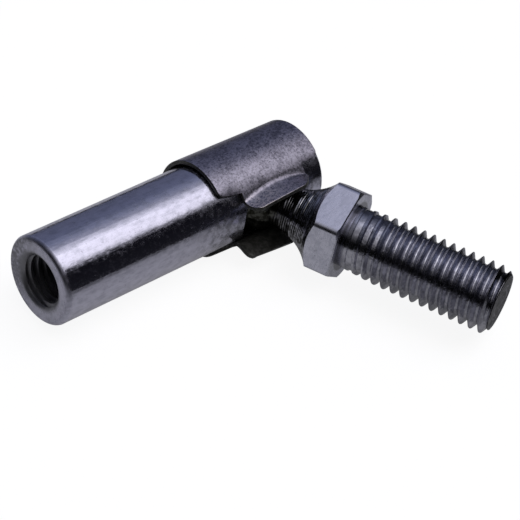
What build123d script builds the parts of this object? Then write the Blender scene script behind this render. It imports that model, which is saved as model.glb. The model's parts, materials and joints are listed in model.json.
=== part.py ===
import math
import os

from build123d import *

# Shared frame, millimetres: the origin is on the bar's axis where the rod thread starts, at the
# foot of its countersink. X runs along the bar to the ball end, -Y is the side the slot and the
# stud face, and Z is up with both lying level.

# barrel
bar_length = 47.0
seat_wall = 0.9
thread_end_chamfer = 0.45
tip_chamfer = 0.5

# M8 x 1.25 tapped hole in the barrel, bored at its tapping size
rod_tap_drill = 6.8
rod_countersink = 8.4
rod_drill_depth = 20.0
drill_point_angle = 118.0

# ball and its pocket
ball_to_tip = 9.6
ball_diameter = 11.0
pocket_clearance = 0.1
pocket_edge_break = 0.35

# M10 x 1.5 stud, its lengths following one another along its own axis out from the ball
stud_tilt = 20.15
neck_radius = 3.2
neck_length = 0.43
cone_length = 7.4
hex_length = 3.65
shank_length = 6.35
thread_length = 16.9
hex_across_flats = 12.75
hex_corner_radius = 0.5
hex_turn = 22.9
hex_chamfer_reach = 0.75
hex_chamfer_drop = 0.4
shank_radius = 4.55
thread_radius = 5.0
stud_tip_chamfer = 0.85

# sleeve, rolled from sheet
sheet = 0.6
sleeve_clearance = 0.1
sleeve_back = 9.9
sleeve_front = 8.8
slot_half_angle = 48.0
lip_half_angle = 37.5
lip_half_length = 6.1
lip_rise = 2.4
lip_spread = 0.76
lip_corner_radius = 1.6
crease_inside_radius = 0.8
crease_outside_radius = 0.3
crease_relief = 0.018
lip_root_overlap = 6.0
tab_corner_radius = 0.8

# The bar is the seat and its wall. The creases of the sleeve's lips hold the ball in its seat,
# which sets how far the ball's centre lies off the bar's axis.
ball_radius = ball_diameter / 2
pocket_radius = ball_radius + pocket_clearance
bar_radius = pocket_radius + seat_wall
sleeve_inside = bar_radius + sleeve_clearance
sleeve_middle = sleeve_inside + sheet / 2
crease_y = -sleeve_middle * math.cos(math.radians(lip_half_angle))
crease_z = sleeve_middle * math.sin(math.radians(lip_half_angle))
crease_reach = ball_radius + sheet / 2 - crease_relief
ball_offset = -crease_y - math.sqrt(crease_reach**2 - crease_z**2)
countersink_depth = (rod_countersink - rod_tap_drill) / 2
threaded_end = -countersink_depth
ball_x = threaded_end + bar_length - ball_to_tip
ball_centre = (ball_x, -ball_offset, 0)
os.makedirs("parts", exist_ok=True)


# barrel: turned bar, tapped from one end, cross-drilled for the ball near the other
tap_radius = rod_tap_drill / 2
drill_end = threaded_end + rod_drill_depth
point_depth = tap_radius / math.tan(math.radians(drill_point_angle / 2))
with BuildPart() as barrel:
    with BuildSketch(Plane.YZ.offset(threaded_end)):
        Circle(bar_radius)
    extrude(amount=bar_length)
    chamfer(barrel.faces().sort_by(Axis.X)[0].edges(), thread_end_chamfer)
    chamfer(barrel.faces().sort_by(Axis.X)[-1].edges(), tip_chamfer)

    # ball seat and the straight bore the ball drops in through
    with Locations(ball_centre):
        Sphere(pocket_radius, mode=Mode.SUBTRACT)
    with BuildSketch(Plane.XZ.offset(ball_offset)):
        with Locations((ball_x, 0)):
            Circle(pocket_radius)
    extrude(amount=bar_radius, mode=Mode.SUBTRACT)
    mouth_edges = barrel.edges().filter_by(
        lambda edge: ball_diameter < edge.bounding_box().size.X < 2 * ball_diameter
        and edge.bounding_box().size.Y > pocket_clearance
    )
    chamfer(mouth_edges, min(pocket_edge_break, 0.4 * (bar_radius - pocket_radius)))

    # tapped hole with its countersink and drill point
    with BuildSketch(Plane.XY):
        with BuildLine():
            Polyline(
                (threaded_end, 0),
                (threaded_end, rod_countersink / 2),
                (0, tap_radius),
                (drill_end, tap_radius),
                (drill_end + point_depth, 0),
                close=True,
            )
        make_face()
    revolve(axis=Axis.X, mode=Mode.SUBTRACT)


# sleeve: sheet rolled round the barrel, open along the stud side, with two flared lips
lip_edge_height = bar_radius + lip_rise
lip_edge_half_gap = crease_z + lip_spread
lip_root_angle = slot_half_angle + lip_root_overlap
with BuildPart() as sleeve:
    with BuildSketch(Plane.YZ.offset(ball_x - sleeve_back)):
        with BuildLine():
            CenterArc((0, 0), sleeve_middle, 180 + slot_half_angle, 360 - 2 * slot_half_angle)
        trace(line_width=sheet)
    extrude(amount=sleeve_back + sleeve_front)
    tab_corners = sleeve.edges().filter_by(
        lambda edge: edge.length < 1.1 * sheet and edge.center().Y < 0
    )
    fillet(tab_corners, tab_corner_radius)

    # one lip in section: from the rolled sheet round the crease and out along the stud
    with BuildPart(mode=Mode.PRIVATE) as lip:
        with BuildSketch(Plane.YZ.offset(ball_x - lip_half_length)) as lip_section:
            with BuildLine():
                CenterArc((0, 0), sleeve_middle, 180 - lip_root_angle, lip_root_angle - lip_half_angle)
                Line((crease_y, crease_z), (-lip_edge_height, lip_edge_half_gap))
            trace(line_width=sheet)
            crease_corners = lip_section.vertices().sort_by_distance((crease_y, crease_z, 0))[:2]
            fillet(crease_corners.sort_by(Axis.Y)[0], crease_inside_radius)
            fillet(crease_corners.sort_by(Axis.Y)[1], crease_outside_radius)
        extrude(amount=2 * lip_half_length)
        with BuildSketch(Plane.XY):
            with Locations((ball_x, -lip_edge_height / 2)):
                RectangleRounded(2 * lip_half_length, lip_edge_height + 1, lip_corner_radius)
        extrude(amount=2 * bar_radius, mode=Mode.INTERSECT)
    add(lip.part)
    add(mirror(lip.part, about=Plane.XY))


# ball stud: ball, neck, hexagon and threaded shank turned from one piece
tilt = math.radians(stud_tilt)
stud_direction = (math.sin(tilt), -math.cos(tilt), 0)
stud_profile_plane = Plane(origin=ball_centre, x_dir=stud_direction, z_dir=(0, 0, 1))
stud_across_plane = Plane(origin=ball_centre, x_dir=(-math.cos(tilt), -math.sin(tilt), 0), z_dir=stud_direction)
hex_reach = hex_across_flats / 2 / math.cos(math.radians(30))
neck_start = math.sqrt(ball_radius**2 - neck_radius**2)
neck_end = neck_start + neck_length
hex_corner_start = neck_end + cone_length
hex_end = hex_corner_start + hex_length
thread_start = hex_end + shank_length
stud_tip = thread_start + thread_length
cone_rise = hex_reach - neck_radius
cone_arc_radius = (cone_length**2 + cone_rise**2) / (2 * cone_rise)
cone_half_angle = 2 * math.degrees(math.atan2(cone_rise, cone_length))
with BuildPart() as ball_stud:
    with BuildSketch(stud_profile_plane):
        with BuildLine():
            CenterArc((0, 0), ball_radius, 180, math.degrees(math.atan2(neck_radius, neck_start)) - 180)
            Line((neck_start, neck_radius), (neck_end, neck_radius))
            CenterArc((neck_end, neck_radius + cone_arc_radius), cone_arc_radius, -90, cone_half_angle)
            Polyline(
                (hex_corner_start, hex_reach),
                (hex_end - hex_chamfer_drop, hex_reach),
                (hex_end, hex_reach - hex_chamfer_reach),
                (hex_end, shank_radius),
                (thread_start - thread_radius + shank_radius, shank_radius),
                (thread_start, thread_radius),
                (stud_tip - stud_tip_chamfer, thread_radius),
                (stud_tip, thread_radius - stud_tip_chamfer),
                (stud_tip, 0),
                (-ball_radius, 0),
            )
        make_face()
    revolve(axis=Axis(ball_centre, stud_direction))

    # hexagon faces, cut into the turned blank
    with BuildSketch(stud_across_plane.offset(neck_end + 1)):
        Circle(hex_reach + 1)
        with BuildSketch(mode=Mode.PRIVATE) as hexagon:
            RegularPolygon(hex_reach, 6, rotation=hex_turn)
            fillet(hexagon.vertices(), hex_corner_radius)
        add(hexagon.sketch, mode=Mode.SUBTRACT)
    extrude(amount=hex_end - neck_end - 1, mode=Mode.SUBTRACT)


barrel.part.label = "barrel"
export_step(barrel.part, "parts/barrel.step")
sleeve.part.label = "sleeve"
export_step(sleeve.part, "parts/sleeve.step")
ball_stud.part.label = "ball_stud"
export_step(ball_stud.part, "parts/ball_stud.step")
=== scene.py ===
import json
import math
import random

import bmesh
import bpy
from mathutils import Matrix, Vector


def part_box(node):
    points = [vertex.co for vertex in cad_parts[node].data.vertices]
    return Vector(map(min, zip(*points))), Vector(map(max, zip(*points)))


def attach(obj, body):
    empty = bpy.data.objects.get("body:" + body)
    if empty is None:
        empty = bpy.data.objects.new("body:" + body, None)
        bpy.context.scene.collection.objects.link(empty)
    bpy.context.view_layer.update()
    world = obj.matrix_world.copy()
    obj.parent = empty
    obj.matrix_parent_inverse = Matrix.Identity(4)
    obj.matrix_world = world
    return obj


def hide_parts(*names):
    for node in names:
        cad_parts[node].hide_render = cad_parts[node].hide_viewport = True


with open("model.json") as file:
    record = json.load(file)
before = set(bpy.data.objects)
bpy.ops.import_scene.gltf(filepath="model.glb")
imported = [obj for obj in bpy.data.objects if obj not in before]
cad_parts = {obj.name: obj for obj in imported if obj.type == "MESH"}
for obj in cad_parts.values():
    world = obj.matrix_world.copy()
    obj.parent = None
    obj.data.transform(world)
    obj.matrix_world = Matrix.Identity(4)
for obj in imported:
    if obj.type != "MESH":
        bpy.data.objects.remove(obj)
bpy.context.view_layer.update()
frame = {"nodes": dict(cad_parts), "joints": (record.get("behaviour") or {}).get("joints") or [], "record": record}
print("frame loaded")

mm = 0.001
weld = 0.002 * mm
close = 0.01 * mm
cutTries = 8
mounts = {mount["name"]: mount for mount in frame["record"]["mounts"]}
swivel = [joint for joint in frame["joints"] if joint["name"] == "ball_swivel"][0]
ballCentre = Vector(swivel["pos_m"])
studAxis = Vector(mounts["stud_thread"]["axis"])
studTurn = math.atan2(studAxis.x, -studAxis.y)
barLow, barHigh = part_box("barrel")


# tools of the bench: selecting, drawing an outline, turning, winding and cutting

def deselectAll():
    bpy.ops.object.select_all(action="DESELECT")


def choose(piece):
    deselectAll()
    bpy.context.view_layer.objects.active = piece
    piece.select_set(True)


def startEdit(piece):
    choose(piece)
    bpy.ops.object.mode_set(mode="EDIT")


def endEdit():
    bpy.ops.object.mode_set(mode="OBJECT")
    deselectAll()


def pick(piece, kind, test):
    # kind is verts, edges or faces, and test says which of them to select
    bpy.ops.mesh.select_mode(type={"verts": "VERT", "edges": "EDGE", "faces": "FACE"}[kind])
    bpy.ops.mesh.select_all(action="DESELECT")
    mesh = bmesh.from_edit_mesh(piece.data)
    for item in getattr(mesh, kind):
        if test(item):
            item.select_set(True)
    bmesh.update_edit_mesh(piece.data)


def weldAll():
    # in edit mode: doubled vertices become one, and every face looks outwards
    bpy.ops.mesh.select_all(action="SELECT")
    bpy.ops.mesh.remove_doubles(threshold=weld)
    bpy.ops.mesh.normals_make_consistent(inside=False)


def drawOutline(name, points):
    # points are (radius, height) in millimetres, drawn one vertex after another
    radius, height = points[0]
    deselectAll()
    bpy.ops.mesh.primitive_plane_add(size=mm, location=(radius * mm, 0, height * mm))
    piece = bpy.context.object
    piece.name = name
    bpy.ops.object.transform_apply(location=True, rotation=True, scale=True)
    bpy.ops.object.mode_set(mode="EDIT")
    bpy.ops.mesh.select_mode(type="VERT")
    bpy.ops.mesh.select_all(action="SELECT")
    bpy.ops.mesh.merge(type="CENTER")
    for nextRadius, nextHeight in points[1:]:
        step = ((nextRadius - radius) * mm, 0, (nextHeight - height) * mm)
        bpy.ops.mesh.extrude_vertices_move(TRANSFORM_OT_translate={"value": step})
        radius, height = nextRadius, nextHeight
    return piece


def turn(name, points, steps):
    # a lathe: the outline spun once round Z, closed where it meets the axis
    piece = drawOutline(name, points)
    bpy.ops.mesh.select_all(action="SELECT")
    bpy.ops.mesh.spin(steps=steps, angle=2 * math.pi, center=(0, 0, 0), axis=(0, 0, 1))
    weldAll()
    endEdit()
    return piece


def windThread(name, tooth, pitch, start, turns, steps):
    # the tooth is one pitch of (radius, height), wound upwards, with both ends drawn to the axis
    piece = drawOutline(name, [(radius, height + start) for radius, height in tooth])
    endEdit()
    wind = piece.modifiers.new("wind", "SCREW")
    wind.angle = 2 * math.pi
    wind.screw_offset = pitch * mm
    wind.iterations = turns
    wind.steps = wind.render_steps = steps
    wind.use_merge_vertices = True
    wind.merge_threshold = weld / 2
    applyAll(piece)
    startEdit(piece)
    bpy.ops.mesh.select_all(action="SELECT")
    bpy.ops.mesh.remove_doubles(threshold=weld)
    middle = (start + pitch * turns / 2) * mm
    for low in (True, False):
        pick(piece, "edges", lambda edge: edge.is_boundary and (edge.verts[0].co.z < middle) == low)
        bpy.ops.mesh.extrude_edges_move(TRANSFORM_OT_translate={"value": (0, 0, 0)})
        bpy.ops.mesh.merge(type="CENTER")
    bpy.ops.mesh.select_all(action="SELECT")
    bpy.ops.mesh.normals_make_consistent(inside=False)
    endEdit()
    return piece


def applyAll(piece):
    choose(piece)
    for modifier in list(piece.modifiers):
        bpy.ops.object.modifier_apply(modifier=modifier.name)
    deselectAll()


def settle(piece):
    # the object's own place and turn go into its mesh
    choose(piece)
    bpy.ops.object.transform_apply(location=True, rotation=True, scale=True)
    deselectAll()


def applyBoolean(piece, other, how):
    boolean = piece.modifiers.new(how.lower(), "BOOLEAN")
    boolean.operation = how
    boolean.solver = "EXACT"
    boolean.object = other
    applyAll(piece)


def combine(piece, other, how):
    applyBoolean(piece, other, how)
    bpy.data.objects.remove(other)


def volumeOf(piece):
    mesh = bmesh.new()
    mesh.from_mesh(piece.data)
    volume = mesh.calc_volume(signed=True)
    mesh.free()
    return volume


def reorder(piece, seed):
    # the same corners and faces, in an order that the seed alone decides
    mesh = piece.data
    corners = [tuple(vertex.co) for vertex in mesh.vertices]
    order = sorted(range(len(corners)), key=lambda i: corners[i])
    place = {old: new for new, old in enumerate(order)}
    faces = []
    for face in mesh.polygons:
        loop = [place[i] for i in face.vertices]
        first = loop.index(min(loop))
        faces.append(loop[first:] + loop[:first])
    faces.sort()
    random.Random(seed).shuffle(faces)
    mesh.clear_geometry()
    mesh.from_pydata([corners[i] for i in order], [], faces)
    mesh.update()


def cut(piece, cutter):
    # what a cut gives can hang on the order of the faces, so it is made in a set order and measured,
    # and made again in another order where it took away nothing, or more than the cutter holds
    whole, most = volumeOf(piece), volumeOf(cutter)
    uncut = piece.data.copy()
    for seed in range(cutTries):
        reorder(piece, seed)
        reorder(cutter, seed)
        applyBoolean(piece, cutter, "DIFFERENCE")
        if whole - most < volumeOf(piece) < whole:
            break
        print("cut made again:", piece.name)
        piece.data = uncut.copy()
    else:
        raise RuntimeError("a cut on " + piece.name + " went wrong")
    bpy.data.objects.remove(cutter)


def shade(piece, degrees):
    choose(piece)
    bpy.ops.object.shade_smooth_by_angle(angle=math.radians(degrees))
    deselectAll()


def crispBorders(piece, test):
    # the borders of the chosen faces are marked sharp, so that flat faces stay flat in the light
    startEdit(piece)
    pick(piece, "faces", test)
    bpy.ops.mesh.region_to_loop()
    bpy.ops.mesh.mark_sharp()
    endEdit()


def arcPoints(centre, radius, first, last, count):
    # points on a circle from one angle in degrees to another
    turned = []
    for i in range(count + 1):
        angle = math.radians(first + (last - first) * i / count)
        turned.append((centre[0] + radius * math.cos(angle), centre[1] + radius * math.sin(angle)))
    return turned


# barrel

barrelSizes = {
    "tapDrill": 6.8,
    "threadMajor": 8.0,
    "threadPitch": 1.25,
    "threadStart": -2,
    "threadTurns": 14,
    "toothRoot": 0.2,
    "mouthRound": 1.42,
    "mouthDeeper": 0.6,
    "endRound": 0.82,
    "endOutset": 0.02,
    "cutPast": 1,
}


def makeBarrel():
    sizes = barrelSizes
    choose(frame["nodes"]["barrel"])
    bpy.ops.object.duplicate(linked=False)
    barrel = bpy.context.object
    barrel.name = "barrel_bar"
    startEdit(barrel)
    bpy.ops.mesh.select_all(action="SELECT")
    bpy.ops.mesh.remove_doubles(threshold=weld / 4)
    endEdit()
    choose(barrel)
    bpy.ops.mesh.customdata_custom_splitnormals_clear()

    def cutAlong(cutter):
        # the cutter is made upright on Z and laid along the bar
        cutter.rotation_euler = (0, math.pi / 2, 0)
        settle(cutter)
        cut(barrel, cutter)

    drill, major = sizes["tapDrill"] / 2, sizes["threadMajor"] / 2
    pitch = sizes["threadPitch"]
    toothRoot = drill - sizes["toothRoot"]
    flank = (major - drill + sizes["toothRoot"]) * math.tan(math.radians(30))
    crest = pitch / 16
    tooth = [
        (toothRoot, 0),
        (toothRoot, pitch / 2 - flank - crest),
        (major, pitch / 2 - crest),
        (major, pitch / 2 + crest),
        (toothRoot, pitch / 2 + flank + crest),
        (toothRoot, pitch),
    ]
    cutAlong(windThread("tap", tooth, pitch, sizes["threadStart"], sizes["threadTurns"], 64))

    # the mouth, worn round from the end face into the hole
    mouthRound = sizes["mouthRound"]
    endFace = barLow[0] / mm
    behind = endFace - sizes["cutPast"]
    rim = [(0, behind), (drill + mouthRound, behind)]
    rim += arcPoints((drill + mouthRound, endFace + mouthRound), mouthRound, 270, 186, 12)
    rim += [(0, endFace + mouthRound + sizes["mouthDeeper"])]
    cutAlong(turn("countersink", rim, 96))

    # and the bar's own end, turned round in place of the plain chamfer
    barRadius, endRound = barHigh.z / mm, sizes["endRound"]
    outside = barRadius + sizes["cutPast"]
    ring = arcPoints((barRadius - endRound + sizes["endOutset"], endFace + endRound), endRound, 262, 366, 10)
    ring += [(outside, endFace + endRound), (outside, behind), (barRadius - endRound, behind)]
    cutAlong(turn("rounding", ring + ring[:1], 144))
    shade(barrel, 24)
    return barrel


# ball stud, made upright on Z with the ball's centre at the origin

studSizes = {
    "ball": 5.5,
    "neck": 3.2,
    "neckEnd": 4.9,
    "coneEnd": 12.3,
    "hexEnd": 15.95,
    "hexFlats": 12.75,
    "hexTurn": 22.9,
    "hexCorner": 0.5,
    "hexEdge": 0.16,
    "hexChamfer": (0.75, 0.4),
    "hexBarPast": 2,
    "groovePitch": 0.37,
    "grooveDepth": 0.10,
    "grooveRunOut": 0.86,
    "major": 5.0,
    "minor": 4.1,
    "pitch": 1.5,
    "crestRound": 0.055,
    "firstCrest": 22.64,
    "turns": 20,
    "turnsBefore": 6,
    # the shank swells from one radius and station to the full thread, round a core that narrows
    "rootInHex": 0.4,
    "shank": (4.62, 16.9),
    "fullThread": 22.3,
    "clearOfCrests": (0.2, 23.2),
    "coreShank": (4.5, 17.3),
    "coreInThread": (0.05, 22.4, 30),
    "tip": 39.2,
    "tipChamfer": 0.85,
    "flatArea": 4,
}


def makeStud():
    sizes = studSizes
    corner = sizes["hexFlats"] / 2 / math.cos(math.radians(30))
    ball, neck = sizes["ball"], sizes["neck"]
    neckAngle = math.degrees(math.acos(neck / ball))
    rise, run = corner - neck, sizes["coneEnd"] - sizes["neckEnd"]
    sweep = (run * run + rise * rise) / (2 * rise)
    sweepAngle = 2 * math.atan2(rise, run)

    # head: ball, neck and the concave cone with its turning grooves, one groove every few points
    outline = [(0, -ball)] + arcPoints((0, 0), ball, -90, neckAngle, 40)[1:]
    grooves = int(sweep * sweepAngle / sizes["groovePitch"])
    marks = random.Random(4)
    for groove in range(grooves):
        # they grow faint towards the hexagon
        left = min(1, max(0, (sizes["grooveRunOut"] - groove / grooves) * 6))
        depth = sizes["grooveDepth"] * marks.uniform(0.15, 1.0) * left
        skew = marks.uniform(-0.12, 0.12)
        for part, share in ((0, 0), (0.25 + skew, 0.8), (0.5 + skew, 1), (0.78, 0.55)):
            angle = sweepAngle * (groove + part) / grooves
            reach = sweep + depth * share
            radius = neck + sweep - reach * math.cos(angle)
            outline.append((radius, sizes["neckEnd"] + reach * math.sin(angle)))
    reachIn, dropBack = sizes["hexChamfer"]
    outline += [
        (corner, sizes["coneEnd"]),
        (corner, sizes["hexEnd"] - dropBack),
        (corner - reachIn * 2, sizes["hexEnd"] + dropBack),
        (0, sizes["hexEnd"] + dropBack),
    ]
    stud = turn("ball_stud_turned", outline, 144)

    # hexagon, milled by keeping what a six-sided bar shares with the blank
    deselectAll()
    hexLength = sizes["hexEnd"] + ball + sizes["hexBarPast"]
    bpy.ops.mesh.primitive_cylinder_add(
        vertices=6, radius=corner * mm, depth=hexLength * mm,
        location=(0, 0, (sizes["hexEnd"] - hexLength / 2) * mm),
        rotation=(0, 0, math.radians(sizes["hexTurn"] - 90)),
    )
    hexBar = bpy.context.object
    settle(hexBar)
    startEdit(hexBar)
    pick(hexBar, "edges", lambda edge: abs(edge.verts[0].co.z - edge.verts[1].co.z) > mm)
    bpy.ops.mesh.bevel(offset=sizes["hexCorner"] * mm, segments=5, affect="EDGES")
    endHeight = sizes["hexEnd"] * mm
    pick(hexBar, "edges", lambda edge: all(abs(v.co.z - endHeight) < close / 10 for v in edge.verts))
    bpy.ops.mesh.bevel(offset=sizes["hexEdge"] * mm, segments=1, affect="EDGES")
    endEdit()
    combine(stud, hexBar, "INTERSECT")

    # thread, wound long and cut to the blank's taper and tip
    major, minor, pitch = sizes["major"], sizes["minor"], sizes["pitch"]
    crest = sizes["crestRound"]
    slope = math.tan(math.radians(30))
    side = crest * math.sin(math.radians(60))
    # the root's rounding is what is left of the pitch between two flanks
    root = (pitch / 2 - side - (major - crest / 2 - minor) * slope) / (math.sin(math.radians(60)) - slope / 2)
    half = arcPoints((minor + root, 0), root, 180, 120, 5)
    crestArc = arcPoints((major - crest, 0), crest, -60, 0, 3)
    half += [(radius, pitch / 2 + height) for radius, height in crestArc]
    tooth = half + [(radius, pitch - height) for radius, height in reversed(half[:-1])]
    # a quarter turn on from X is the top of the stud as it lies, where the first full crest stands
    first = sizes["firstCrest"] - pitch / 4 - pitch / 2
    start = first - pitch * sizes["turnsBefore"]
    thread = windThread("thread", tooth, pitch, start, sizes["turns"], 96)
    foot, tip = sizes["hexEnd"] - sizes["rootInHex"], sizes["tip"]
    shank, shankEnd = sizes["shank"]
    clear, clearFrom = sizes["clearOfCrests"]
    blank = turn("blank", [
        (0, foot),
        (shank, foot),
        (shank, shankEnd),
        (major, sizes["fullThread"]),
        (major + clear, clearFrom),
        (major + clear, tip - sizes["tipChamfer"] - clear),
        (major - sizes["tipChamfer"], tip),
        (0, tip),
    ], 96)
    combine(thread, blank, "INTERSECT")
    coreShank, coreShankEnd = sizes["coreShank"]
    inset, coreFrom, coreEnd = sizes["coreInThread"]
    core = turn("core", [
        (0, foot),
        (coreShank, foot),
        (coreShank, coreShankEnd),
        (minor - inset, coreFrom),
        (minor - inset, coreEnd),
        (0, coreEnd),
    ], 96)
    combine(thread, core, "UNION")
    combine(stud, thread, "UNION")

    stud.location = ballCentre
    stud.rotation_euler = (math.pi / 2, 0, studTurn)
    settle(stud)
    shade(stud, 34)
    crispBorders(stud, lambda face: face.calc_area() > sizes["flatArea"] * mm * mm)
    return stud


# sleeve, modelled as the middle of its sheet over the upper half, then mirrored and thickened

sleeveSizes = {
    "radius": 6.95,
    "sheet": 0.6,
    "edgeBreak": 0.14,
    "back": 9.9,
    "front": 8.8,
    "slotHalf": 48.0,
    "slotDip": 4.0,
    "dipFrom": -9.05,
    "dipFall": 2.4,
    "dipRise": 2.5,
    "rootRow": 56.0,
    "cornerRound": 0.85,
    "lipStart": -6.15,
    "lipEnd": 5.6,
    "creaseAngle": 35.6,
    "creaseBow": 0.22,
    "bendIn": 1.0,
    "bendOut": 3.2,
    "bulge": 0.09,
    "lipHeight": 8.9,
    "lipGap": 4.96,
    "lipSpread": 0.091,
    "lipRoundBack": 1.7,
    "lipTaperFront": 3.0,
    "lipTaperCurve": (1.35, 0.95),
    "rowBeforeLip": -7.6,
    "rowPastLip": 0.9,
    "cock": 0.65,
}


def turnedFrom(point):
    # how far round the bar a point lies from the slot's middle
    return math.atan2(point.z, -point.y)


def creasePath(along):
    # one column of a lip, from the slot's edge round the crease to the free edge, as (y, z)
    sizes = sleeveSizes
    radius = sizes["radius"]
    crease = math.radians(sizes["creaseAngle"] - sizes["creaseBow"] * along * along)
    corner = Vector((-radius * math.cos(crease), radius * math.sin(crease)))
    edge = Vector((-sizes["lipHeight"], sizes["lipGap"] + sizes["lipSpread"] * along))
    out = (edge - corner).normalized()
    back = Vector((math.sin(crease), math.cos(crease)))  # up the sheet from the crease
    bendIn, bendOut = corner + back * sizes["bendIn"], corner + out * sizes["bendOut"]
    path = []
    slot = math.radians(slotEdge(along))
    for share in (0, 0.5):
        angle = slot + (crease + sizes["bendIn"] / radius - slot) * share
        swell = radius + bulge(along) * (1 - share * 0.5)
        path.append(Vector((-swell * math.cos(angle), swell * math.sin(angle))))

    # the whole section of the lip, tight at the crease and easing outwards, cut short near the lip's ends
    section = []
    for i in range(13):
        share = i / 12
        bend = bendIn * (1 - share) ** 2 + corner * 2 * share * (1 - share) + bendOut * share ** 2
        section.append(bend)
    section.append(edge)
    lengths = [0]
    for near, far in zip(section, section[1:]):
        lengths.append(lengths[-1] + (far - near).length)
    root = sizes["bendIn"] * 1.1
    reach = lengths[-1]
    fromBack, fromFront = along - sizes["lipStart"], sizes["lipEnd"] - along
    roundBack, taperFront = sizes["lipRoundBack"], sizes["lipTaperFront"]
    if fromBack < roundBack:
        reach -= roundBack - math.sqrt(max(0, roundBack ** 2 - (roundBack - fromBack) ** 2))
    if fromFront < taperFront:
        part = fromFront / taperFront
        inner, outer = sizes["lipTaperCurve"]
        reach = root + (reach - root) * (1 - (1 - part) ** inner) ** outer
    for share in (0, 0.1, 0.2, 0.3, 0.42, 0.56, 0.7, 0.85, 1):
        length = reach * share
        step = max(i for i in range(len(section) - 1) if lengths[i] <= length + 1e-9)
        part = (length - lengths[step]) / (lengths[step + 1] - lengths[step])
        path.append(section[step].lerp(section[step + 1], part))
    return path


def bulge(along):
    # the sheet is pushed out a little above the crease, and not at the lip's ends
    middle = (sleeveSizes["lipStart"] + sleeveSizes["lipEnd"]) / 2
    reach = (sleeveSizes["lipEnd"] - sleeveSizes["lipStart"]) / 2
    return sleeveSizes["bulge"] * max(0, 1 - ((along - middle) / reach) ** 4)


def slotEdge(along):
    # half angle of the slot's edge at a station, opened out where the tabs' corners are rounded
    sizes = sleeveSizes
    depth = min(along + sizes["back"], sizes["front"] - along)
    corner = sizes["cornerRound"]
    if depth >= corner:
        # the edge dips a little on its way to the lip
        down = min(1, max(0, (along - sizes["dipFrom"]) / sizes["dipFall"]))
        up = min(1, max(0, -along / sizes["dipRise"]))
        return sizes["slotHalf"] - sizes["slotDip"] * (down * up)
    gap = corner - math.sqrt(max(0, corner ** 2 - (corner - depth) ** 2))
    return sizes["slotHalf"] + math.degrees(gap / sizes["radius"])


def spread(first, last, count):
    return [first + (last - first) * i / count for i in range(count + 1)]


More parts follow.
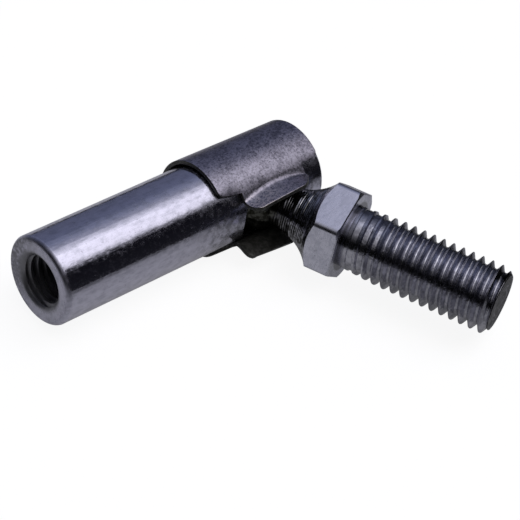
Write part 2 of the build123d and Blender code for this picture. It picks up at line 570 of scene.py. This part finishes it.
def makeSleeve(outside, inside):
    sizes = sleeveSizes
    ballX = ballCentre.x / mm
    radius = sizes["radius"]
    eased = [sizes["cornerRound"] * share for share in (0.08, 0.3, 0.62, 1)]
    lipBack = [sizes["lipRoundBack"] * share for share in (0.03, 0.12, 0.26, 0.45, 0.7, 1)]
    lipFront = (0.02, 0.09, 0.2, 0.36, 0.52, 0.68, 0.84, 1)
    lipFront = [sizes["lipTaperFront"] * share for share in lipFront]
    lip = [sizes["lipStart"]] + [sizes["lipStart"] + step for step in lipBack]
    lip += spread(sizes["lipStart"] + lipBack[-1], sizes["lipEnd"] - lipFront[-1], 12)[1:]
    lip += [sizes["lipEnd"] - step for step in reversed(lipFront[:-1])] + [sizes["lipEnd"]]
    stations = [-sizes["back"]] + [step - sizes["back"] for step in eased]
    stations += [sizes["rowBeforeLip"]] + lip + [sizes["lipEnd"] + sizes["rowPastLip"]]
    stations += [sizes["front"] - step for step in reversed(eased)] + [sizes["front"]]

    # the roll: an open pipe, ringed at every station, the lower half and the slot taken away
    deselectAll()
    bpy.ops.mesh.primitive_cylinder_add(
        vertices=180, radius=radius * mm, depth=(sizes["back"] + sizes["front"]) * mm,
        location=((ballX + (sizes["front"] - sizes["back"]) / 2) * mm, 0, 0),
        rotation=(0, math.pi / 2, 0), end_fill_type="NOTHING",
    )
    sleeve = bpy.context.object
    sleeve.name = "sleeve_roll"
    sleeve.data.materials.append(outside)
    sleeve.data.materials.append(inside)
    settle(sleeve)
    startEdit(sleeve)
    for station in stations[1:-1]:
        bpy.ops.mesh.select_all(action="SELECT")
        bpy.ops.mesh.bisect(plane_co=((ballX + station) * mm, 0, 0), plane_no=(1, 0, 0))
    bpy.ops.mesh.select_all(action="SELECT")
    bpy.ops.mesh.bisect(plane_co=(0, 0, 0), plane_no=(0, 0, 1), clear_inner=True)
    opening = math.radians(sizes["rootRow"])
    pick(sleeve, "faces", lambda face: turnedFrom(face.calc_center_median()) < opening)
    bpy.ops.mesh.delete(type="FACE")

    def place(column):
        # moves each selected vertex to its column's point
        mesh = bmesh.from_edit_mesh(sleeve.data)
        for vertex in [vertex for vertex in mesh.verts if vertex.select]:
            along = vertex.co.x / mm - ballX
            y, z = column(along)
            vertex.co = Vector(((ballX + along) * mm, y * mm, z * mm))
        bmesh.update_edit_mesh(sleeve.data)

    # one row down to the slot's edge over the whole length
    pick(sleeve, "edges", lambda edge: edge.is_boundary and all(
        abs(turnedFrom(v.co) - opening) < 0.003 for v in edge.verts))
    bpy.ops.mesh.extrude_edges_move(TRANSFORM_OT_translate={"value": (0, 0, 0)})

    def slotRow(along):
        angle = math.radians(slotEdge(along))
        swell = radius + bulge(along)
        return -swell * math.cos(angle), swell * math.sin(angle)

    place(slotRow)

    # then the lip, row by row round its crease
    lipFirst, lipLast = (ballX + lip[0]) * mm, (ballX + lip[-1]) * mm
    pick(sleeve, "edges", lambda edge: edge.is_boundary and all(
        v.co.y < 0 and turnedFrom(v.co) < opening - 0.05
        and lipFirst - close < v.co.x < lipLast + close for v in edge.verts))
    for row in range(1, len(creasePath(0))):
        bpy.ops.mesh.extrude_edges_move(TRANSFORM_OT_translate={"value": (0, 0, 0)})
        place(lambda along: creasePath(along)[row])

    # mirrored across the slot, thickened, its edges broken, and cocked a little on the bar
    weldAll()
    endEdit()
    mirror = sleeve.modifiers.new("mirror", "MIRROR")
    mirror.use_axis = (False, False, True)
    mirror.merge_threshold = close
    applyAll(sleeve)
    startEdit(sleeve)
    weldAll()
    endEdit()
    wall = sleeve.modifiers.new("wall", "SOLIDIFY")
    wall.thickness = sizes["sheet"] * mm
    wall.offset = 0
    # the inside and the rims take the dark oiled finish, which also paints their shade
    wall.material_offset = wall.material_offset_rim = 1
    wall.use_even_offset = True
    edges = sleeve.modifiers.new("edges", "BEVEL")
    edges.width = sizes["edgeBreak"] * mm
    edges.segments = 3
    edges.limit_method = "ANGLE"
    edges.angle_limit = math.radians(50)
    applyAll(sleeve)
    startEdit(sleeve)
    bpy.ops.mesh.select_all(action="SELECT")
    centre = (ballCentre.x, 0, 0)
    cock = math.radians(sizes["cock"])
    for axis, sign in (("Y", -1), ("Z", 1)):
        bpy.ops.transform.rotate(value=sign * cock, orient_axis=axis, center_override=centre)
    endEdit()
    shade(sleeve, 38)
    return sleeve


# shader sums written as plain expressions: a wire is one output of a node

class Wire:
    def __init__(self, tree, socket):
        self.tree = tree
        self.socket = socket

    def node(self, kind, settings=None, inputs=None, output=0):
        made = self.tree.nodes.new(kind)
        for name, value in (settings or {}).items():
            if name == "stops":
                ramp = made.color_ramp
                while len(ramp.elements) < len(value):
                    ramp.elements.new(0.5)
                for element, (place, colour) in zip(ramp.elements, value):
                    element.position = place
                    element.color = (*colour, 1)
            else:
                setattr(made, name, value)
        for name, value in (inputs or {}).items():
            if isinstance(value, Wire):
                self.tree.links.new(value.socket, made.inputs[name])
            else:
                made.inputs[name].default_value = value
        return Wire(self.tree, made.outputs[output] if made.outputs else None)

    def sum(self, operation, *values):
        return self.node("ShaderNodeMath", {"operation": operation}, dict(enumerate(values)))

    def __add__(self, other):
        return self.sum("ADD", self, other)

    def __radd__(self, other):
        return self.sum("ADD", other, self)

    def __sub__(self, other):
        return self.sum("SUBTRACT", self, other)

    def __rsub__(self, other):
        return self.sum("SUBTRACT", other, self)

    def __mul__(self, other):
        return self.sum("MULTIPLY", self, other)

    def __rmul__(self, other):
        return self.sum("MULTIPLY", other, self)

    def __truediv__(self, other):
        return self.sum("DIVIDE", self, other)

    def apart(self):
        # the three numbers of a vector
        split = self.node("ShaderNodeSeparateXYZ", None, {"Vector": self}).socket.node
        return [Wire(self.tree, split.outputs[axis]) for axis in "XYZ"]

    def band(self, low, high, toLow=0.0, toHigh=1.0):
        # eases from one value to another as the wire goes from low to high
        inputs = {"Value": self, "From Min": low, "From Max": high, "To Min": toLow, "To Max": toHigh}
        return self.node("ShaderNodeMapRange", {"interpolation_type": "SMOOTHSTEP"}, inputs)

    def noise(self, scale, detail=3.0, roughness=0.55):
        inputs = {"Vector": self, "Scale": scale, "Detail": detail, "Roughness": roughness}
        return self.node("ShaderNodeTexNoise", None, inputs)

    def stretch(self, x, y, z, turned=(0, 0, 0)):
        return self.node("ShaderNodeMapping", None, {"Vector": self, "Scale": (x, y, z), "Rotation": turned})

    def blend(self, colourA, colourB):
        # a colour between two, the wire being the share of the second
        inputs = {0: self, 6: colourA, 7: colourB}
        return self.node("ShaderNodeMix", {"data_type": "RGBA"}, inputs, 2)


def shown(place, mirroredShare):
    # all of it to the eye and through glass, and only a share to what mirrors it
    light = place.node("ShaderNodeLightPath").socket.node
    seen, mirrored, through = [
        Wire(place.tree, light.outputs[name])
        for name in ("Is Camera Ray", "Is Glossy Ray", "Is Transmission Ray")
    ]
    whole = seen.sum("MAXIMUM", seen, through)
    return whole.sum("MAXIMUM", whole, mirrored * mirroredShare)


def newMaterial(name):
    material = bpy.data.materials.new(name)
    material.use_nodes = True
    tree = material.node_tree
    tree.nodes.clear()
    place = tree.nodes.new("ShaderNodeTexCoord")
    return material, Wire(tree, place.outputs["Object"])


def finishMetal(place, colour, roughness, bump, strength, distance, metallic=1.0):
    normal = place.node("ShaderNodeBump", None, {"Height": bump, "Strength": strength, "Distance": distance})
    surface = place.node("ShaderNodeBsdfPrincipled", None, {
        "Base Color": colour, "Metallic": metallic, "Roughness": roughness, "Normal": normal})
    place.node("ShaderNodeOutputMaterial", None, {"Surface": surface})


zincLook = {
    "bright": (0.70, 0.69, 0.82, 1),
    "dull": (0.52, 0.52, 0.62, 1),
    "pit": (0.22, 0.22, 0.26, 1),
    "greaseAndShade": (0.16, 0.16, 0.17, 1),
    "hole": (0.30, 0.30, 0.32, 1),
    "roughness": 0.105,
}


def zincOnBar():
    material, place = newMaterial("bright zinc on bar")
    x, y, z = place.apart()
    radius = (y * y + z * z).sum("SQRT", y * y + z * z)
    inside = radius.band(4.9 * mm, 3.9 * mm) * x.band(barHigh.x - 0.8 * mm, barHigh.x - 1.8 * mm)
    endEdge = x.band(barLow[0] + 0.9 * mm, barLow[0] + 0.3 * mm) * radius.band(5.4 * mm, 5.9 * mm)
    streaks = place.stretch(60, 2600, 2600).noise(1.0, 4)
    waves = place.stretch(160, 300, 300).noise(1.0, 3)
    mottle = place.stretch(700, 1100, 1100).noise(1.0, 4, 0.6)
    grain = place.noise(4600, 2)
    pits = place.noise(2400, 1).band(0.68, 0.76)
    # grease and handling marks gather round the pocket's mouth, under the tabs, mixed with painted shadow of the
    # tabs on the bar
    greaseAndShade = x.band(20 * mm, 27 * mm) * y.band(-2 * mm, -5 * mm) * place.noise(900, 4, 0.65).band(0.42, 0.6)
    dull = (mottle * 0.7 + streaks * 0.3).band(0.4, 0.68)
    colour = dull.blend(zincLook["bright"], zincLook["dull"])
    colour = (pits * 0.3).blend(colour, zincLook["pit"])
    # the end face is made darker and mottled towards the back
    endFaceDarkerToBack = x.band(barLow[0] + 0.3 * mm, barLow[0] + 0.1 * mm) * y.band(-mm, 5.5 * mm)
    endFaceDarkerToBack = endFaceDarkerToBack * place.noise(1600, 4, 0.65).band(0.25, 0.6)
    colour = (greaseAndShade * 0.6).sum("MAXIMUM", greaseAndShade * 0.6, endFaceDarkerToBack * 0.85).blend(colour, zincLook["greaseAndShade"])
    # the threaded hole is oiled, and darkened inside with painted shade
    colour = inside.blend(colour, zincLook["hole"])
    dust = place.noise(1500, 4, 0.65).band(0.45, 0.7)
    roughness = zincLook["roughness"] + dull * 0.08 + inside * 0.25
    roughness = roughness + greaseAndShade * 0.15 + endEdge * 0.2 + dust * 0.13
    bump = waves * 2.2 + mottle * 0.9 + grain * 0.16 + streaks * 0.06 - pits * 0.1
    finishMetal(place, colour, roughness, bump, 0.9, 0.02 * mm, 1 - inside * 0.1)
    return material


studLook = {
    "flats": (0.82, 0.82, 0.94, 1),
    "flatsDull": (0.62, 0.63, 0.74, 1),
    "thread": (0.62, 0.62, 0.69, 1),
    "threadDull": (0.36, 0.36, 0.41, 1),
    "cone": (0.44, 0.44, 0.48, 1),
    "coneDull": (0.10, 0.10, 0.10, 1),
    "greasedAndShaded": (0.016, 0.016, 0.012, 1),
    "greasedAndShadedThin": (0.09, 0.09, 0.08, 1),
    "speck": (0.20, 0.20, 0.24, 1),
    "tip": (0.004, 0.004, 0.005, 1),
    "tipWorn": (0.34, 0.34, 0.38, 1),
}


# the oil spot, near the tip on the stud's upper side
studSide = Vector((-math.cos(studTurn), -math.sin(studTurn), 0))
spotUp = (Vector((0, 0, 1)) - studSide * 0.17).normalized()
oilSpot = ballCentre + studAxis * 38.9 * mm + spotUp * 4.4 * mm


def zincOnStud():
    material, place = newMaterial("zinc on stud")
    fromBall = place.node("ShaderNodeVectorMath", {"operation": "SUBTRACT"}, {0: place, 1: ballCentre})
    out = fromBall.node("ShaderNodeVectorMath", {"operation": "DOT_PRODUCT"}, {0: fromBall, 1: studAxis}, 1)
    away = fromBall.node("ShaderNodeVectorMath", {"operation": "LENGTH"}, {0: fromBall}, 1)
    wide = (away * away - out * out).sum("SQRT", away * away - out * out)
    clouds = place.noise(600, 4, 0.6)
    grain = place.noise(4200, 3)
    scratches = place.stretch(900, 5200, 700, (0.4, 0.2, 0.7)).noise(1.0, 3)
    dull = (clouds * 0.6 + place.noise(1900, 3, 0.6) * 0.4).band(0.42, 0.6)
    rub = place.noise(1300, 4, 0.65)
    smears = rub.band(0.42, 0.6)
    major, minor, coneEnd, hexEnd, tip = [
        studSizes[name] * mm for name in ("major", "minor", "coneEnd", "hexEnd", "tip")
    ]
    onHex = wide.band(major + 0.2 * mm, major + 0.5 * mm) * out.band(coneEnd - 1.7 * mm, coneEnd - 0.5 * mm)
    onCone = out.band(coneEnd + 0.3 * mm, coneEnd - 0.7 * mm) * (1 - onHex)
    onTip = out.band(tip - 0.18 * mm, tip - 0.06 * mm)
    # oil lies on and near the ball, its near-black also painting the shade in the pocket, and in a spot at the tip
    oilAndShade = (away + clouds * 4.5 * mm).band(10.8 * mm, 7.8 * mm)
    fromSpot = place.node("ShaderNodeVectorMath", {"operation": "DISTANCE"}, {0: place, 1: oilSpot}, 1)
    spot = (fromSpot + smears * 0.7 * mm).band(2.3 * mm, 1.0 * mm)
    colour = dull.blend(studLook["thread"], studLook["threadDull"])
    # painted shade darkens the crests, and a little the roots in the grooves
    onThread = (1 - onHex) * out.band(hexEnd + 1.55 * mm, hexEnd + 3.05 * mm) * (1 - onTip)
    crestShade = wide.band(major - 0.14 * mm, major - 0.04 * mm)
    rootShade = wide.band(minor + 0.3 * mm, minor + 0.1 * mm) * rub.band(0.4, 0.6) * 0.8
    colour = crestShade.sum("MAXIMUM", crestShade, rootShade).blend(colour, studLook["threadDull"])
    # painted shade darkens the corner between the hexagon's end and the shank
    hexCorner = out.band(hexEnd + 1.05 * mm, hexEnd + 0.45 * mm)
    hexCorner = hexCorner * wide.band(major + 0.3 * mm, major + 0.1 * mm)
    hexCorner = hexCorner * out.band(hexEnd - 1.95 * mm, hexEnd - 0.95 * mm)
    colour = (hexCorner * 0.9).blend(colour, studLook["speck"])
    marks = dull * 0.6 + scratches.band(0.52, 0.7) * 0.6
    colour = onHex.blend(colour, marks.blend(studLook["flats"], studLook["flatsDull"]))
    colour = onCone.blend(colour, smears.blend(studLook["cone"], studLook["coneDull"]))
    specks = place.noise(1500, 2).band(0.66, 0.76)
    colour = (specks * 0.45).blend(colour, studLook["speck"])
    turning = wide.noise(1100, 2) * 0.5 + rub * 0.5
    colour = onTip.blend(colour, turning.band(0.48, 0.6).blend(studLook["tip"], studLook["tipWorn"]))
    colour = oilAndShade.blend(colour, smears.blend(studLook["greasedAndShaded"], studLook["greasedAndShadedThin"]))
    colour = spot.blend(colour, studLook["greasedAndShaded"])
    roughness = 0.13 + dull * 0.07 + onHex * 0.12 + onTip * 0.2
    bump = clouds * 0.5 + onTip * turning * 9 + onThread * rub * 3.5
    bump = bump + grain * (0.14 + onCone * 0.5) + scratches * 0.2
    finishMetal(place, colour, roughness, bump, 0.9, 0.02 * mm)
    return material


sleeveLook = {
    "sheen": (0.55, 0.525, 0.63, 1),
    "dark": (0.24, 0.23, 0.285, 1),
    "paintedLipLight": (0.95, 0.86, 0.82, 1),
    "inside": (0.05, 0.05, 0.044, 1),
    "insideWorn": (0.13, 0.13, 0.12, 1),
    "speck": (0.06, 0.06, 0.075, 1),
    "roughness": 0.33,
}


def darkSheet():
    material, place = newMaterial("matt dark spring sheet")
    clouds = place.noise(500, 4)
    mottle = place.noise(2600, 4, 0.65)
    specks = place.noise(4800, 2).band(0.55, 0.68)
    colour = (clouds * 0.35 + mottle * 0.65).band(0.38, 0.60).blend(sleeveLook["dark"], sleeveLook["sheen"])
    # painted light: the lips are made brighter towards the bar's middle
    x, y = place.apart()[:2]
    paintedLipLight = y.band(-5.4 * mm, -7.2 * mm) * x.band(42 * mm, 30 * mm)
    colour = (paintedLipLight * mottle.band(0.3, 0.62)).blend(colour, sleeveLook["paintedLipLight"])
    colour = (specks * 0.75).blend(colour, sleeveLook["speck"])
    roughness = sleeveLook["roughness"] + mottle.band(0.35, 0.7, -0.05, 0.1)
    bump = mottle * 0.5 + clouds * 0.5 - specks * 0.25
    finishMetal(place, colour, roughness, bump, 0.8, 0.02 * mm)
    return material


def oiledAndShadedInside():
    # oil on the inside of the sheet, darkened further with painted shade, and the same on its rims
    material, place = newMaterial("oiled inside of the sheet")
    mottle = place.noise(1500, 3)
    colour = mottle.band(0.35, 0.7).blend(sleeveLook["inside"], sleeveLook["insideWorn"])
    finishMetal(place, colour, 0.35 + mottle * 0.15, mottle, 0.3, 0.03 * mm, 0.4)
    return material


# the pieces are made, dressed and set on their bodies

print("modelling the barrel")
barrel = makeBarrel()
print("modelling the ball stud")
stud = makeStud()
print("modelling the sleeve")
sleeve = makeSleeve(darkSheet(), oiledAndShadedInside())
for piece, material in ((barrel, zincOnBar()), (stud, zincOnStud())):
    piece.data.materials.clear()
    piece.data.materials.append(material)
for piece, node in ((barrel, "barrel"), (stud, "ball_stud"), (sleeve, "sleeve")):
    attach(piece, node)
    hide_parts(node)
print("pieces dressed")


# floor, light and camera

stageSizes = {
    "floorHeight": -7.45,
    "floorMiddle": 20,
    "floorWidth": 900,
    "floorEdge": -155,
    "floorGrey": 0.60,
    "floorMirrored": 0.19,
    "floorGlow": 0.90,
    "floorShade": 0.30,
    # where metal starts to show the floor, shows it whole, and leaves it again
    "shownAcross": (-75, 10, 52, 105),
    "shownDeep": (-155, 32, 60, 240),
    "skyMirrored": 0.003,
}


def paleFloor():
    sizes = stageSizes
    material, place = newMaterial("pale floor")
    x, y = place.apart()[:2]
    left, leftFull, rightFull, right = [step * mm for step in sizes["shownAcross"]]
    near, nearFull, farFull, far = [step * mm for step in sizes["shownDeep"]]
    fall = y.band(near, nearFull) * y.band(far, farFull) * x.band(left, leftFull) * x.band(right, rightFull)
    grey = fall.blend((0, 0, 0, 1), (sizes["floorGrey"],) * 3 + (1,))
    mat = place.node("ShaderNodeBsdfDiffuse", None, {"Color": grey})
    shaded = place.node("ShaderNodeBsdfDiffuse", None, {"Color": (sizes["floorShade"],) * 3 + (1,)})
    glow = place.node("ShaderNodeEmission", None, {"Color": (1, 1, 1, 1), "Strength": sizes["floorGlow"]})
    white = place.node("ShaderNodeAddShader", None, {0: shaded, 1: glow})
    share = shown(place, fall * sizes["floorMirrored"])
    surface = place.node("ShaderNodeMixShader", None, {0: share, 1: mat, 2: white})
    place.node("ShaderNodeOutputMaterial", None, {"Surface": surface})
    return material


def layFloor():
    sizes = stageSizes
    half = sizes["floorWidth"] / 2
    deselectAll()
    bpy.ops.mesh.primitive_plane_add(
        size=2 * half * mm,
        location=(sizes["floorMiddle"] * mm, (sizes["floorEdge"] + half) * mm, sizes["floorHeight"] * mm),
    )
    floor = bpy.context.object
    floor.name = "floor"
    settle(floor)
    floor.data.materials.append(paleFloor())


# the sky is one long box light overhead, sharp towards the slot side and fading to the back
skyStops = (
    # degrees from straight up, towards the back when positive
    (-180, (0.26, 0.26, 0.28)),
    (-112, (0.24, 0.24, 0.27)),
    (-100, (0.01, 0.01, 0.013)),
    (-50, (0.001, 0.001, 0.003)),
    (-43, (0.04, 0.04, 0.045)),
    (-35, (1.10, 1.08, 1.12)),
    (-8, (1.24, 1.22, 1.28)),
    (3, (0.74, 0.74, 0.81)),
    (13, (0.33, 0.34, 0.41)),
    (26, (0.215, 0.235, 0.315)),
    (42, (0.12, 0.135, 0.20)),
    (90, (0.10, 0.11, 0.16)),
    (110, (0.16, 0.165, 0.20)),
    (180, (0.26, 0.26, 0.28)),
)
# and the box fades out towards both ends of the bar
skyReach = (
    (-0.9, 0.0),
    (-0.78, 0.06),
    (-0.68, 0.22),
    (-0.5, 0.34),
    (-0.2, 0.65),
    (0.05, 1.25),
    (0.25, 1.1),
    (0.42, 0.97),
    (0.57, 1.0),
    (0.74, 0.28),
    (1.0, 0.5),
)


def lightSky():
    world = bpy.data.worlds.new("studio")
    world.use_nodes = True
    tree = world.node_tree
    tree.nodes.clear()
    bpy.context.scene.world = world
    sky = Wire(tree, tree.nodes.new("ShaderNodeTexCoord").outputs["Generated"])
    x, y, z = sky.apart()
    angle = y.sum("ARCTAN2", y, z) / (2 * math.pi) + 0.5
    stops = [((degrees + 180) / 360, colour) for degrees, colour in skyStops]
    box = angle.node("ShaderNodeValToRGB", {"stops": stops}, {"Fac": angle})
    stops = [((along + 1) / 2, (share,) * 3) for along, share in skyReach]
    reach = x.node("ShaderNodeValToRGB", {"stops": stops}, {"Fac": x * 0.5 + 0.5})
    multiply = {"data_type": "RGBA", "blend_type": "MULTIPLY"}
    box = box.node("ShaderNodeMix", multiply, {0: 1.0, 6: box, 7: reach}, 2)
    lit = sky.node("ShaderNodeBackground", None, {"Color": box, "Strength": 1.0})
    plain = sky.node("ShaderNodeBackground", None, {"Color": (1, 1, 1, 1), "Strength": 1.0})
    share = shown(sky, stageSizes["skyMirrored"])
    both = sky.node("ShaderNodeMixShader", None, {0: share, 1: lit, 2: plain})
    sky.node("ShaderNodeOutputWorld", None, {"Surface": both})


cameraSizes = {
    "place": (-133.2243, -150.4219, 180.1055),
    "right": (0.731206, -0.666618, 0.14477),
    "up": (0.360713, 0.557968, 0.747367),
    "lens": 139.35,
    "sensor": 36,
    "near": 10,
}


def setCamera():
    sizes = cameraSizes
    data = bpy.data.cameras.new("camera")
    data.sensor_width = sizes["sensor"]
    data.lens = sizes["lens"]
    data.clip_start = sizes["near"] * mm
    camera = bpy.data.objects.new("camera", data)
    bpy.context.scene.collection.objects.link(camera)
    right, up = Vector(sizes["right"]), Vector(sizes["up"])
    turned = Matrix((right, up, right.cross(up))).transposed().to_4x4()
    camera.matrix_world = Matrix.Translation(Vector(sizes["place"]) * mm) @ turned
    bpy.context.scene.camera = camera
    bpy.context.scene.view_settings.view_transform = "Standard"


layFloor()
lightSky()
print("stage set")
setCamera()
